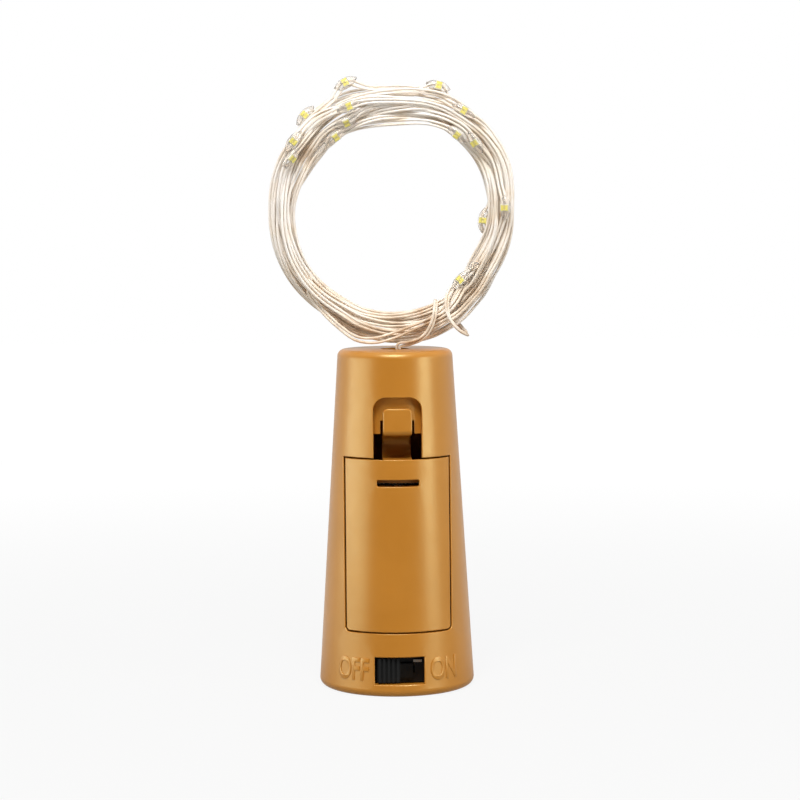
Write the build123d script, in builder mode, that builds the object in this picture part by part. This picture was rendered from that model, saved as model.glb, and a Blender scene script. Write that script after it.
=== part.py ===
from build123d import *
from math import cos, dist, hypot, pi, radians, sin, sqrt, tan
import os

os.makedirs("parts", exist_ok=True)

# Tapered body in mm, standing on its wide end, door and switch facing -Y
body_height = 47.0
base_radius = 10.85
tip_radius = 7.95
wall = 1.2
tip_wall = 1.4
rim_round = 1.0
tip_hole_radius = 2.0
cut_overrun = 2.0
fit_gap = 0.1
edge_ease = 0.1

# Battery door, its finger slot and its lugs
door_width = 14.2
door_low = 8.9
door_top = 32.4
door_gap = 0.15
door_foot_gap = 0.22
door_corner = 0.5
door_relief = 0.45
slot_length = 5.75
slot_height = 0.95
slot_round = 0.25
slot_below_top = 3.25
lug_width = 1.6
lug_spacing = 9.0
lug_thickness = 0.9
lug_reach = 1.0
lug_rise = 0.8
lug_gap = 0.15

# Latch recess above the door, and the latch that is bent up from the door as a U
recess_width = 6.6
recess_rise = 8.4
recess_round = 1.8
recess_depth = 1.15
recess_floor_wall = 0.9
recess_floor_rise = 3.4
notch_width = 4.65
notch_height = 1.8
tab_width = 3.95
tab_rise = 6.9
tab_round = 0.7
tab_thickness = 0.9
tab_ease = 0.2
leg_thickness = 0.8
leg_drop = 0.9
bend_inner = 1.65
bend_reach = 4.6
stem_gap = 0.2

# Switch window, slide switch and its knob
window_width = 6.8
window_height = 3.75
window_level = 3.6
window_ease = 0.12
switch_length = 8.0
switch_height = 3.5
switch_depth = 3.3
sheet = 0.3
pocket_length = 6.4
pocket_height = 2.2
pocket_depth = 1.8
switch_travel = 2.95
knob_width = 3.1
knob_height = 3.3
knob_recess = 0.63
knob_reach = 2.4
rib_count = 5
rib_depth = 0.3
stem_width = 1.0
stem_height = 1.2
slide_gap = 0.15
shutter_length = 6.8
shutter_low = 2.2
shutter_top = 4.2
foot_width = 2.2
foot_height = 1.8
foot_depth = 0.7
pin_width = 0.8
pin_spacing = 2.5
pin_length = 1.8
pin_stand = 0.05
lip_length = 1.2
lip_height = 0.4
lip_offset = 2.55
lip_stand = 0.3
wiper_sheet = 0.2

# Button cells, stacked with their wide faces up
cell_count = 3
cell_diameter = 11.6
cell_height = 5.4
cell_wall = 0.25
cell_round = 0.3
cell_step = 0.3
cell_cap_radius = 4.6
cell_cap_height = 3.0
cell_seal_height = 1.2
cell_play = 0.15
cell_offset = 1.2
stack_low = 12.6

# End cap and cradle
cap_thickness = 1.4
cap_ring_height = 1.6
cap_ring_wall = 0.8
skirt_wall = 1.0
shelf_low = 7.6
shelf_thickness = 1.6
shelf_front = 5.7
ceiling_thickness = 1.3
cross_wall = 0.9
bay_side = 0.8
channel_width = 2.2
channel_depth = 1.3
channel_offset = -1.0

# Contacts of the stack
contact_width = 7.0
contact_front = 5.0
contact_shoulder = 3.0
contact_back = 4.4
tail_width = 2.0
tail_up = 2.5
tail_down = 2.8
tail_gap = 0.25
spring_wire = 0.45
spring_outer = 3.2
spring_inner = 1.3
spring_turns = 2
spring_bend = 0.5

# Internal wiring, the glue plug and the resistor
lead_diameter = 0.8
lead_offset = 0.9
lead_depth = 0.6
lead_level_shares = (0.3, 0.75)
resistor_diameter = 1.7
resistor_length = 3.4
resistor_leg = 1.0
resistor_leg_diameter = 0.5
anchor_recess = 0.6
anchor_flange_radius = 3.2
anchor_flange = 2.0

# String of lights: a twin wire as one round tube of equal section, wound into an upright ring
string_diameter = 0.56
ring_radius = 15.6
ring_x = -0.3
ring_y = 0.9
ring_lift = 0.9
layer_count = 4
turns_per_layer = 3.75
turn_pitch = 1.04
ring_start = -32.0
bead_radius = 0.85
bead_half_length = 1.25
bead_gap = 0.05
chip_length = 0.8
chip_width = 0.7
chip_height = 0.4
chip_face = 0.55
end_bead_radius = 0.6
end_bead_length = 1.7

# How wound paths and routes are worked out
quarter = 0.25
probe = 0.001
same_way = 1e-9
sample_count = 5
face_touch = 0.02
edge_shares = (0.1, 0.5, 0.9)
run_share = 0.45


def body_radius(level):
    return base_radius + (tip_radius - base_radius) * level / body_height


def cone_section(low, high, inset):
    # Half section of the taper between two levels, its side set in from the outer face
    low_point = (body_radius(low) - inset, low)
    high_point = (body_radius(high) - inset, high)
    with BuildSketch(Plane.XZ) as section:
        with BuildLine():
            Polyline((0, low), low_point, high_point, (0, high), close=True)
        make_face()
    return section.sketch


def cone(low, high, inset, mode=Mode.ADD):
    revolve(cone_section(low, high, inset), axis=Axis.Z, mode=mode)


def block(x_range, y_range, z_range, mode=Mode.ADD):
    with BuildSketch(Plane.XY.offset(z_range[0])) as outline:
        with Locations((sum(x_range) / 2, sum(y_range) / 2)):
            Rectangle(x_range[1] - x_range[0], y_range[1] - y_range[0])
    extrude(outline.sketch, amount=z_range[1] - z_range[0], mode=mode)


def centred(width, middle=0):
    return (middle - width / 2, middle + width / 2)


def front_panel(width, low, high, round_low, mode):
    # Upright panel outline with its lower corners rounded, run from the axis out of the front
    with BuildSketch(Plane.XZ) as outline:
        with Locations((0, (low + high) / 2)):
            Rectangle(width, high - low)
        fillet(outline.vertices().group_by(Axis.Y)[0], radius=round_low)
    extrude(outline.sketch, amount=base_radius + cut_overrun, mode=mode)


def arch_panel(width, low, high, round_high, mode):
    with BuildSketch(Plane.XZ) as outline:
        with Locations((0, (low + high) / 2)):
            Rectangle(width, high - low)
        fillet(outline.vertices().group_by(Axis.Y)[-1], radius=round_high)
    extrude(outline.sketch, amount=base_radius + cut_overrun, mode=mode)


def outer_edges(piece, low, high):
    # Edges of a piece that lie on the tapered outer face between two levels
    return piece.edges().filter_by(
        lambda edge: all(
            abs(hypot(spot.X, spot.Y) - body_radius(spot.Z)) < face_touch and low < spot.Z < high
            for spot in [edge @ share for share in edge_shares]
        )
    )


def finish_piece(piece, name):
    piece.part.label = name
    export_step(piece.part, f"parts/{name}.step")


# Pad behind the latch recess, which becomes its sunk floor
recess_top = door_top + recess_rise
recess_floor_low = door_top + recess_floor_rise
recess_floor_inset = recess_depth + recess_floor_wall
with BuildPart() as recess_pad:
    cone(recess_floor_low, recess_top + recess_floor_wall, wall / 2)
    cone(recess_floor_low - cut_overrun, body_height, recess_floor_inset, Mode.SUBTRACT)
    block(
        centred(recess_width + 2 * recess_floor_wall),
        (-base_radius, 0),
        (recess_floor_low, recess_top + recess_floor_wall),
        Mode.INTERSECT,
    )

# Recess itself, cut down to the floor only
with BuildPart() as recess_hollow:
    arch_panel(recess_width, door_top, recess_top, recess_round, Mode.ADD)
    cone(0, body_height, recess_depth, Mode.SUBTRACT)

# Shell, one moulding open at the wide end
opening_low = door_low - door_foot_gap
opening_top = door_top + door_gap
with BuildPart() as shell:
    cone(0, body_height, 0)
    fillet(shell.edges().filter_by(GeomType.CIRCLE), radius=rim_round)
    cone(-cut_overrun, body_height - tip_wall, wall, Mode.SUBTRACT)
    add(recess_pad.part)
    add(recess_hollow.part, mode=Mode.SUBTRACT)
    block(
        centred(recess_width),
        (-base_radius - cut_overrun, 0),
        (door_top, recess_floor_low),
        Mode.SUBTRACT,
    )
    block(
        centred(notch_width),
        (-base_radius - cut_overrun, 0),
        (recess_floor_low - recess_floor_wall, recess_floor_low + notch_height),
        Mode.SUBTRACT,
    )
    front_panel(
        door_width + 2 * door_gap,
        opening_low,
        opening_top,
        door_corner + door_gap,
        Mode.SUBTRACT,
    )
    block(
        centred(window_width),
        (-base_radius - cut_overrun, 0),
        centred(window_height, window_level),
        Mode.SUBTRACT,
    )
    with Locations((0, 0, body_height)):
        Hole(radius=tip_hole_radius, depth=tip_wall + cut_overrun)
    window_span = centred(window_height + 2 * fit_gap, window_level)
    fillet(outer_edges(shell, *window_span), radius=window_ease)
    fillet(outer_edges(shell, opening_low - fit_gap, recess_top + fit_gap), radius=edge_ease)
finish_piece(shell, "shell")

# End cap, a disc in the wide end with a locating ring inside the cradle's skirt
skirt_inset = wall + fit_gap + skirt_wall
cap_ring_top = cap_thickness + cap_ring_height
with BuildPart() as end_cap:
    cone(cap_thickness, cap_ring_top, skirt_inset + fit_gap)
    cone(cap_thickness, cap_ring_top, skirt_inset + fit_gap + cap_ring_wall, Mode.SUBTRACT)
    block(
        centred(2 * base_radius),
        (-base_radius, 0),
        (cap_thickness, cap_ring_top),
        Mode.SUBTRACT,
    )
    block(
        centred(channel_width, channel_offset),
        (0, base_radius),
        (cap_thickness, cap_ring_top),
        Mode.SUBTRACT,
    )
    cone(0, cap_thickness, wall + fit_gap / 2)
finish_piece(end_cap, "end_cap")

# Battery door, with the lower half of the latch's U behind its top edge
leg_low = door_top - leg_drop
bend_level = leg_low + leg_thickness + bend_inner
bend_outer = bend_inner + leg_thickness
slot_level = door_top - slot_below_top
with BuildPart() as lug_ring:
    cone(door_low - lug_reach, door_low + lug_rise, wall + lug_gap)
    cone(
        door_low - lug_reach - cut_overrun,
        door_low + lug_rise + cut_overrun,
        wall + lug_gap + lug_thickness,
        Mode.SUBTRACT,
    )
with BuildPart() as lug_bridge:
    cone(door_low, door_low + lug_rise, wall / 2)
    cone(
        door_low - cut_overrun,
        door_low + lug_rise + cut_overrun,
        wall + lug_gap + lug_thickness / 2,
        Mode.SUBTRACT,
    )
with BuildPart() as lugs:
    add(lug_ring.part)
    add(lug_bridge.part)
    with BuildSketch(Plane.XY.offset(door_low - lug_reach)) as lug_outline:
        with Locations((0, -base_radius / 2)):
            with GridLocations(lug_spacing, 0, 2, 1):
                Rectangle(lug_width, base_radius)
    extrude(amount=lug_reach + lug_rise, mode=Mode.INTERSECT)
with BuildPart() as top_relief:
    with BuildSketch(Plane.XZ) as relief_section:
        with BuildLine():
            Polyline(
                (body_radius(door_top), door_top),
                (body_radius(door_top) - wall - cut_overrun, door_top),
                (
                    body_radius(door_top) - wall - cut_overrun,
                    door_top - door_relief * (wall + cut_overrun) / wall,
                ),
                close=True,
            )
        make_face()
    revolve(axis=Axis.Z)
with BuildPart() as battery_door:
    front_panel(door_width, door_low, door_top, door_corner, Mode.ADD)
    cone(door_low, door_top, 0, Mode.INTERSECT)
    cone(door_low - cut_overrun, door_top + cut_overrun, wall, Mode.SUBTRACT)
    add(top_relief.part, mode=Mode.SUBTRACT)
    with BuildSketch(Plane.XZ) as slot:
        with Locations((0, slot_level)):
            RectangleRounded(slot_length, slot_height, slot_round)
    extrude(amount=base_radius + cut_overrun, mode=Mode.SUBTRACT)
    add(lugs.part)
    with BuildSketch(Plane.YZ.offset(-tab_width / 2)) as lower_leg:
        with BuildLine():
            door_inner = -body_radius(leg_low) + wall / 2
            Polyline(
                (-bend_reach, leg_low),
                (door_inner, leg_low),
                (door_inner, leg_low + leg_thickness),
                (-bend_reach, leg_low + leg_thickness),
            )
            JernArc((-bend_reach, leg_low + leg_thickness), (1, 0), bend_inner, 90)
            Line((-bend_reach + bend_inner, bend_level), (-bend_reach + bend_outer, bend_level))
            JernArc((-bend_reach + bend_outer, bend_level), (0, -1), bend_outer, -90)
        make_face()
    extrude(amount=tab_width)
    fillet(outer_edges(battery_door, door_low - fit_gap, door_top + fit_gap), radius=edge_ease)
finish_piece(battery_door, "battery_door")

# Door latch, the upper half of the U with the thumb tab at its end
upper_leg_low = bend_level + bend_inner
upper_leg_top = bend_level + bend_outer
stem_top = recess_floor_low + notch_height - stem_gap
tab_top = door_top + tab_rise
stem_back = body_radius(stem_top) - recess_floor_inset - leg_thickness
with BuildPart() as tab_face:
    arch_panel(tab_width, upper_leg_low, tab_top, tab_round, Mode.ADD)
    cone(upper_leg_low, tab_top, 0, Mode.INTERSECT)
    cone(upper_leg_low - cut_overrun, tab_top + cut_overrun, tab_thickness, Mode.SUBTRACT)
with BuildPart() as door_latch:
    with BuildSketch(Plane.YZ.offset(-tab_width / 2)) as upper_leg:
        with BuildLine():
            tab_inner = -body_radius(upper_leg_top) + tab_thickness / 2
            Polyline(
                (-bend_reach, upper_leg_low),
                (tab_inner, upper_leg_low),
                (tab_inner, stem_top),
                (-stem_back, stem_top),
                (-stem_back, upper_leg_top),
                (-bend_reach, upper_leg_top),
            )
            JernArc((-bend_reach, upper_leg_top), (1, 0), bend_outer, -90)
            Line((-bend_reach + bend_outer, bend_level), (-bend_reach + bend_inner, bend_level))
            JernArc((-bend_reach + bend_inner, bend_level), (0, 1), bend_inner, 90)
        make_face()
    extrude(amount=tab_width)
    add(tab_face.part)
    chin = door_latch.edges().filter_by(GeomType.CIRCLE).filter_by(
        lambda edge: abs(edge.center().Z - upper_leg_low) < fit_gap
        and edge.center().Y < -stem_back
    )
    fillet(chin.sort_by(Axis.Y)[0], radius=tab_round)
    fillet(outer_edges(door_latch, upper_leg_low, tab_top + fit_gap), radius=tab_ease)
finish_piece(door_latch, "door_latch")

# Cradle, with the trough for the cells, two shelves and the bay for the switch
shelf_top = shelf_low + shelf_thickness
stack_top = stack_low + cell_count * cell_height
ceiling_low = stack_top + sheet
cradle_top = ceiling_low + ceiling_thickness
cradle_inset = wall + fit_gap
bore_radius = cell_diameter / 2 + cell_play
bay_half = switch_length / 2 + fit_gap
knob_front = body_radius(window_level) - knob_recess
switch_back = knob_front - knob_reach - sheet - switch_depth
with BuildPart() as lower_bay:
    cone(cap_thickness - cut_overrun, shelf_low, skirt_inset)
    block(
        centred(2 * base_radius),
        (-switch_back, -switch_back + cross_wall),
        (cap_thickness - cut_overrun, shelf_low),
        Mode.SUBTRACT,
    )
    for side in (-1, 1):
        block(
            centred(bay_side, side * (bay_half + bay_side / 2)),
            (-switch_back - switch_depth, -switch_back),
            (cap_thickness - cut_overrun, shelf_low),
            Mode.SUBTRACT,
        )
with BuildPart() as wire_channel:
    cone(0, body_height, wall / 2)
    cone(0, body_height, cradle_inset + channel_depth, Mode.SUBTRACT)
    block(
        centred(channel_width, channel_offset),
        (0, base_radius),
        (0, cradle_top + cut_overrun),
        Mode.INTERSECT,
    )
with BuildPart() as cradle:
    cone(cap_thickness, cradle_top, cradle_inset)
    add(lower_bay.part, mode=Mode.SUBTRACT)
    add(wire_channel.part, mode=Mode.SUBTRACT)
    block(
        centred(2 * base_radius),
        (-base_radius, -switch_back - switch_depth),
        (0, shelf_low),
        Mode.SUBTRACT,
    )
    block(
        centred(2 * base_radius),
        (-base_radius, -shelf_front),
        (shelf_low, shelf_top),
        Mode.SUBTRACT,
    )
    block(
        centred(2 * bay_half),
        (-base_radius, -switch_back),
        (0, shelf_low),
        Mode.SUBTRACT,
    )
    block(
        centred(2 * (pin_spacing + pin_width)),
        (-switch_back, -switch_back + cross_wall),
        centred(2 * pin_width, window_level),
        Mode.SUBTRACT,
    )
    with BuildSketch(Plane.XY.offset(shelf_top)) as trough:
        with Locations((0, -cell_offset)):
            Circle(bore_radius)
        with Locations((0, -cell_offset - base_radius / 2)):
            Rectangle(2 * bore_radius, base_radius)
    extrude(amount=ceiling_low - shelf_top, mode=Mode.SUBTRACT)
    with BuildSketch(Plane.XY.offset(shelf_low)) as tail_slots:
        with Locations((0, contact_back - sheet / 2)):
            Rectangle(tail_width + 2 * tail_gap, sheet + 2 * tail_gap)
    extrude(amount=cradle_top - shelf_low, mode=Mode.SUBTRACT)
finish_piece(cradle, "cradle")

# Button cells, each a can, a seal and a cap
for number in range(cell_count):
    cell_low = stack_low + number * cell_height
    cell_middle = Plane.XY.offset(cell_low).origin + Vector(0, -cell_offset, 0)
    can_inner = cell_diameter / 2 - cell_wall
    with BuildPart(Plane(cell_middle).offset(cell_step)) as can:
        Cylinder(
            cell_diameter / 2,
            cell_height - cell_step,
            align=(Align.CENTER, Align.CENTER, Align.MIN),
        )
        fillet(can.edges().filter_by(GeomType.CIRCLE), radius=cell_round)
        Cylinder(
            can_inner,
            cell_height - cell_step - cell_wall,
            align=(Align.CENTER, Align.CENTER, Align.MIN),
            mode=Mode.SUBTRACT,
        )
    finish_piece(can, f"cell_{number + 1}_can")
    with BuildPart() as seal:
        with BuildSketch(Plane(cell_middle).offset(cell_step)):
            Circle(can_inner)
            Circle(cell_cap_radius, mode=Mode.SUBTRACT)
        extrude(amount=cell_seal_height)
    finish_piece(seal, f"cell_{number + 1}_seal")
    with BuildPart(Plane(cell_middle)) as cap:
        Cylinder(
            cell_cap_radius,
            cell_cap_height,
            align=(Align.CENTER, Align.CENTER, Align.MIN),
        )
        fillet(cap.edges().filter_by(GeomType.CIRCLE).sort_by(Axis.Z)[0], radius=cell_step)
    finish_piece(cap, f"cell_{number + 1}_cap")

# Contact plates: one over the stack with its tail up, one under the spring with its tail down
plate_top = shelf_top + sheet


def contact_plate(low, high, tail_levels):
    # Sheet across the stack, stepped in to a tongue at the back that turns into a tail
    block(centred(contact_width), (-contact_front, contact_shoulder), (low, high))
    block(centred(tail_width), (contact_shoulder, contact_back), (low, high))
    block(centred(tail_width), (contact_back - sheet, contact_back), tail_levels)


with BuildPart() as positive_contact:
    contact_plate(stack_top, ceiling_low, (ceiling_low, cradle_top + tail_up))
finish_piece(positive_contact, "positive_contact")

with BuildPart() as spring_plate:
    contact_plate(shelf_top, plate_top, (shelf_top - tail_down, shelf_top))
finish_piece(spring_plate, "spring_plate")


def biarc(start, start_way, end, end_way):
    # Two arcs that leave start along start_way and reach end along end_way
    span = end - start
    square = 2 * (start_way.dot(end_way) - 1)
    slope = -2 * span.dot(start_way + end_way)
    if abs(square) < same_way:
        reach = -span.dot(span) / slope
    else:
        reach = (-slope - sqrt(slope * slope - 4 * square * span.dot(span))) / (2 * square)
    first_knee = start + start_way * reach
    second_knee = end - end_way * reach
    joint = (first_knee + second_knee) / 2
    return [
        TangentArc(start, joint, tangent=start_way),
        TangentArc(joint, end, tangent=second_knee - first_knee),
    ]


def way_at(place, turn):
    return (place(turn + probe) - place(turn - probe)).normalized()


def winding(place, turns):
    # Biarcs of a quarter turn through the places of a wound path
    edges = []
    for k in range(round(turns / quarter)):
        here, there = k * quarter, (k + 1) * quarter
        edges += biarc(place(here), way_at(place, here), place(there), way_at(place, there))
    return edges


def least_gap(edges, diameter, skipped):
    # Least distance between stretches of a path that are at least skipped apart along it
    samples = []
    travelled = 0
    for edge in edges:
        for k in range(sample_count):
            share = k / sample_count
            samples.append((travelled + share * edge.length, tuple(edge @ share)))
        travelled += edge.length
    least = min(
        dist(here, there)
        for k, (at, here) in enumerate(samples)
        for way, there in samples[k + 1 :]
        if way - at > skipped
    )
    return least - diameter


def run_radii(points):
    # Arc radius at each corner of a route: 0.45 of its shorter run over the tangent of half the turn
    radii = []
    for before, corner, after in zip(points, points[1:], points[2:]):
        turn = (corner - before).get_angle(after - corner)
        shorter = min((corner - before).length, (after - corner).length)
        radii.append(run_share * shorter / tan(radians(turn) / 2))
    return radii


def tube(points, diameter, name):
    # Round tube along straight runs joined by tangent arcs, its section and radii printed
    radii = run_radii(points)
    with BuildLine() as route:
        FilletPolyline(*points, radius=radii)
    with BuildSketch(Plane(points[0], z_dir=points[1] - points[0])) as section:
        Circle(diameter / 2)
    swept = sweep(section.sketch, path=route.wire())
    expected = pi * diameter**2 / 4 * route.wire().length
    print(
        f"{name}: {route.wire().length:.1f} mm long, least radius {min(radii):.2f} mm,"
        f" volume {swept.volume / expected:.3f} of section times length"
    )


# Contact spring, a conical coil from the plate up to the lowest cell
spring_low = plate_top + spring_wire + spring_bend
spring_high = stack_low - spring_wire - spring_bend


def spring_place(turn):
    share = turn / spring_turns
    radius = spring_outer + (spring_inner - spring_outer) * share
    level = spring_low + (spring_high - spring_low) * share
    angle = 2 * pi * turn
    return Vector(radius * cos(angle), -cell_offset + radius * sin(angle), level)


up = Vector(0, 0, 1)
spring_foot = spring_place(0) - way_at(spring_place, 0) * spring_bend
spring_foot = Vector(spring_foot.X, spring_foot.Y, plate_top)
spring_head = spring_place(spring_turns) + way_at(spring_place, spring_turns) * spring_bend
spring_head = Vector(spring_head.X, spring_head.Y, stack_low)
with BuildPart() as contact_spring:
    with BuildLine() as spring_path:
        Line(spring_foot, spring_foot + up * spring_wire)
        biarc(
            spring_foot + up * spring_wire, up, spring_place(0), way_at(spring_place, 0)
        )
        curls = winding(spring_place, spring_turns)
        biarc(
            spring_place(spring_turns),
            way_at(spring_place, spring_turns),
            spring_head - up * spring_wire,
            up,
        )
        Line(spring_head - up * spring_wire, spring_head)
    with BuildSketch(Plane(spring_foot)) as spring_section:
        Circle(spring_wire / 2)
    sweep()
spring_gap = least_gap(curls, spring_wire, pi * spring_inner)
print(f"contact_spring: least gap to itself {spring_gap:.2f} mm")
finish_piece(contact_spring, "contact_spring")

# Slide switch: terminals, base, steel bracket
base_front = -switch_back - switch_depth
pocket_back = base_front + pocket_depth
frame_front = base_front - sheet
with BuildPart() as switch_terminals:
    for k in range(-1, 2):
        block(
            centred(pin_width, k * pin_spacing),
            (pocket_back - pin_stand, -switch_back + pin_length),
            centred(pin_width / 2, window_level),
        )
finish_piece(switch_terminals, "switch_terminals")

with BuildPart() as switch_base:
    block(
        centred(switch_length),
        (base_front, -switch_back),
        centred(switch_height, window_level),
    )
    block(
        centred(pocket_length),
        (base_front, pocket_back),
        centred(pocket_height, window_level),
        Mode.SUBTRACT,
    )
    add(switch_terminals.part, mode=Mode.SUBTRACT)
finish_piece(switch_base, "switch_base")

lip_low = window_level + stem_height / 2 + slide_gap
with BuildPart() as switch_frame:
    block(
        centred(switch_length),
        (frame_front, -switch_back - cross_wall),
        centred(switch_height + 2 * sheet, window_level),
    )
    block(
        centred(switch_length),
        (base_front, -switch_back),
        centred(switch_height, window_level),
        Mode.SUBTRACT,
    )
    block(
        centred(switch_travel + stem_width + 2 * slide_gap),
        (frame_front, base_front),
        centred(stem_height + 2 * slide_gap, window_level),
        Mode.SUBTRACT,
    )
    block(
        centred(lip_length, lip_offset),
        (frame_front - lip_stand, frame_front),
        (lip_low, lip_low + lip_height),
    )
finish_piece(switch_frame, "switch_frame")

# Knob in its OFF place, with its shutter, stem and foot, and the wiper on the foot
knob_middle = -switch_travel / 2
shutter_front = frame_front - slide_gap - sheet
foot_front = base_front + slide_gap
foot_back = foot_front + foot_depth
with BuildPart() as switch_knob:
    block(
        centred(knob_width, knob_middle),
        (-knob_front + rib_depth, shutter_front),
        centred(knob_height, window_level),
    )
    rib_pitch = knob_width / rib_count
    for k in range(rib_count):
        block(
            centred(rib_pitch / 2, knob_middle + (k - (rib_count - 1) / 2) * rib_pitch),
            (-knob_front, -knob_front + rib_depth),
            centred(knob_height, window_level),
        )
    block(
        centred(shutter_length, knob_middle),
        (shutter_front, shutter_front + sheet),
        (shutter_low, shutter_top),
    )
    block(
        centred(stem_width, knob_middle),
        (shutter_front, foot_back),
        centred(stem_height, window_level),
    )
    block(
        centred(foot_width, knob_middle),
        (foot_front, foot_back),
        centred(foot_height, window_level),
    )
finish_piece(switch_knob, "switch_knob")

wiper_back = pocket_back - 2 * pin_stand - wiper_sheet / 2
wiper_reach = foot_width / 2 - wiper_sheet
with BuildPart() as switch_wiper:
    with BuildSketch(Plane.XY.offset(window_level - pin_width / 2)):
        with BuildLine():
            Polyline(
                (knob_middle - wiper_reach, wiper_back),
                (knob_middle - wiper_sheet, foot_back + wiper_sheet / 2),
                (knob_middle + wiper_sheet, foot_back + wiper_sheet / 2),
                (knob_middle + wiper_reach, wiper_back),
            )
        trace(line_width=wiper_sheet)
    extrude(amount=pin_width)
finish_piece(switch_wiper, "switch_wiper")


# Glue plug in the hole of the narrow end, with the string leaving its top
anchor_top = body_height - anchor_recess
tip_inner = body_height - tip_wall
anchor_low = tip_inner - anchor_flange
with BuildPart(Plane.XY.offset(anchor_low)) as wire_anchor:
    Cylinder(
        anchor_flange_radius, anchor_flange, align=(Align.CENTER, Align.CENTER, Align.MIN)
    )
    Cylinder(
        tip_hole_radius - fit_gap / 2,
        anchor_top - anchor_low,
        align=(Align.CENTER, Align.CENTER, Align.MIN),
    )
    fillet(wire_anchor.edges().filter_by(GeomType.CIRCLE).sort_by(Axis.Z)[0], radius=anchor_recess)
finish_piece(wire_anchor, "wire_anchor")

# Series resistor, its leg on the switch's outer terminal
pin_end = -switch_back + pin_length
resistor_end = pin_end + resistor_length + 2 * resistor_leg
with BuildPart(Plane((pin_spacing, pin_end, window_level), z_dir=(0, 1, 0))) as resistor:
    Cylinder(
        resistor_leg_diameter / 2,
        resistor_length + 2 * resistor_leg,
        align=(Align.CENTER, Align.CENTER, Align.MIN),
    )
    with Locations((0, 0, resistor_leg)):
        Cylinder(
            resistor_diameter / 2,
            resistor_length,
            align=(Align.CENTER, Align.CENTER, Align.MIN),
        )
    rims = resistor.edges().filter_by(GeomType.CIRCLE).filter_by(
        lambda edge: edge.radius > resistor_leg_diameter
    )
    fillet(rims, radius=resistor_leg_diameter / 2)
finish_piece(resistor, "resistor")

# Internal leads, each along its whole route
tail_middle = contact_back - sheet / 2


def channel_point(level):
    across = body_radius(level) - cradle_inset - channel_depth / 2
    return Vector(channel_offset, across, level)


def shared_level(low, share):
    return low + (anchor_low - low) * share


with BuildPart() as spring_lead:
    tube(
        [
            Vector(0, pin_end, window_level),
            Vector(0, tail_middle, window_level),
            Vector(0, tail_middle, shelf_top - tail_down),
        ],
        lead_diameter,
        "spring_lead",
    )
finish_piece(spring_lead, "spring_lead")

channel_low = channel_point(shelf_low - lead_diameter)
channel_high = channel_point(cradle_top + lead_diameter / 2)
with BuildPart() as switch_lead:
    tube(
        [
            Vector(pin_spacing, resistor_end, window_level),
            Vector(pin_spacing, resistor_end + resistor_leg, window_level),
            Vector(0, channel_low.Y - 2 * channel_depth, window_level + lead_diameter / 2),
            Vector(channel_offset, channel_low.Y - channel_depth, window_level + lead_diameter),
            channel_low,
            (channel_low + channel_high) / 2 + Vector(0, fit_gap, 0),
            channel_high,
            channel_high + Vector(0, -lead_diameter, 3 * lead_diameter),
            Vector(-lead_offset, lead_depth, shared_level(cradle_top, lead_level_shares[1])),
            Vector(-lead_offset, lead_depth, anchor_low),
        ],
        lead_diameter,
        "switch_lead",
    )
finish_piece(switch_lead, "switch_lead")

tail_top = cradle_top + tail_up
with BuildPart() as positive_lead:
    tube(
        [
            Vector(tail_width / 4, tail_middle, tail_top),
            Vector(tail_width / 4, tail_middle, shared_level(tail_top, lead_level_shares[0])),
            Vector(lead_offset, lead_depth, shared_level(tail_top, lead_level_shares[1])),
            Vector(lead_offset, lead_depth, anchor_low),
        ],
        lead_diameter,
        "positive_lead",
    )
finish_piece(positive_lead, "positive_lead")

# Ring of the string, its layers side by side and each a flat spiral, in and out again
total_turns = layer_count * turns_per_layer
half_band = turn_pitch * turns_per_layer / 2
half_depth = turn_pitch * (layer_count - 1) / 2
ring_z = body_height + ring_lift + ring_radius + half_band + string_diameter / 2


def ring_point(angle, outward, across):
    reach = ring_radius + outward
    return Vector(
        ring_x + reach * cos(radians(angle)),
        ring_y + across,
        ring_z + reach * sin(radians(angle)),
    )


def string_place(turn):
    layer = max(0, min(int(turn // turns_per_layer), layer_count - 1))
    done = turn - layer * turns_per_layer
    outward = turn_pitch * done - half_band
    if layer % 2:
        outward = -outward
    across = half_depth - turn_pitch * layer
    to_next = done - turns_per_layer + quarter
    since_last = quarter - done
    if to_next > 0 and layer < layer_count - 1:
        across -= turn_pitch * (1 - cos(pi * to_next / (2 * quarter))) / 2
    if since_last > 0 and layer > 0:
        across += turn_pitch * (1 - cos(pi * since_last / (2 * quarter))) / 2
    return ring_point(ring_start + 360 * turn, outward, across)


coil_start = string_place(0)
coil_start_way = way_at(string_place, 0)
coil_end = string_place(total_turns)
coil_end_way = way_at(string_place, total_turns)
with BuildPart() as wire_coil:
    with BuildLine() as coil_path:
        Line(coil_start - coil_start_way * string_diameter, coil_start)
        coil_arcs = winding(string_place, total_turns)
        Line(coil_end, coil_end + coil_end_way * string_diameter)
    with BuildSketch(
        Plane(coil_start - coil_start_way * string_diameter, z_dir=coil_start_way)
    ) as coil_section:
        Circle(string_diameter / 2)
    sweep()
coil_gap = least_gap(coil_arcs, string_diameter, ring_radius)
coil_length = sum(edge.length for edge in coil_arcs) + 2 * string_diameter
coil_share = wire_coil.part.volume / (pi * string_diameter**2 / 4 * coil_length)
print(
    f"wire_coil: {coil_length:.1f} mm long, least gap to itself {coil_gap:.2f} mm,"
    f" volume {coil_share:.3f} of section times length"
)
finish_piece(wire_coil, "wire_coil")

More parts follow.
